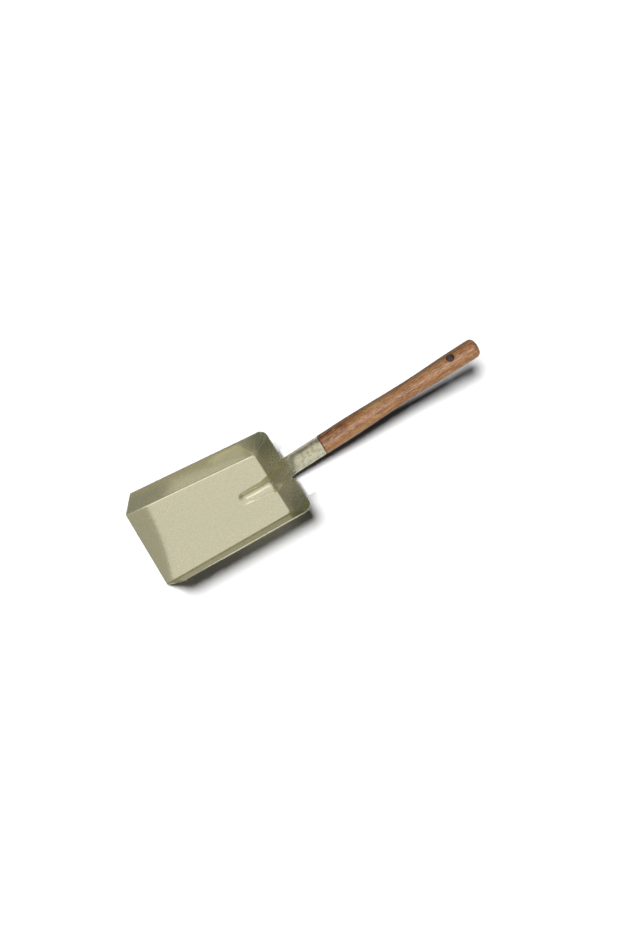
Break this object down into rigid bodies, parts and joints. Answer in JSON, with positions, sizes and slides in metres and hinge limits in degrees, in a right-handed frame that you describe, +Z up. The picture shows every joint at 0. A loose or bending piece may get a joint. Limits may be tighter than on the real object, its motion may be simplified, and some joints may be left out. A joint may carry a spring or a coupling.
{
  "type": "fireplace shovel",
  "caption": "Hearth shovel: open-fronted pressed metal pan, its back ridge running into a rolled socket that holds a turned wooden handle with a hanging hole.",
  "frame": {"origin": "the middle of the pan's flat underside, where the shovel rests: halfway between the lip and the back fold, on the plane of symmetry", "axes": "+X from the lip towards the handle, +Y to the left seen from the lip with the pan facing up, +Z up out of the pan"},
  "size_m": [0.399, 0.111, 0.1188],
  "materials": {
    "plated_sheet": "satin yellow-grey plating over steel sheet, slightly mottled",
    "turned_wood": "reddish brown hardwood, thin satin varnish, open grain",
    "nail_steel": "plain steel nail, dull"
  },
  "bodies": {
    "root": {"blade": "plated_sheet", "handle": "turned_wood", "handle_nail": "nail_steel"}
  },
  "joints": []
}
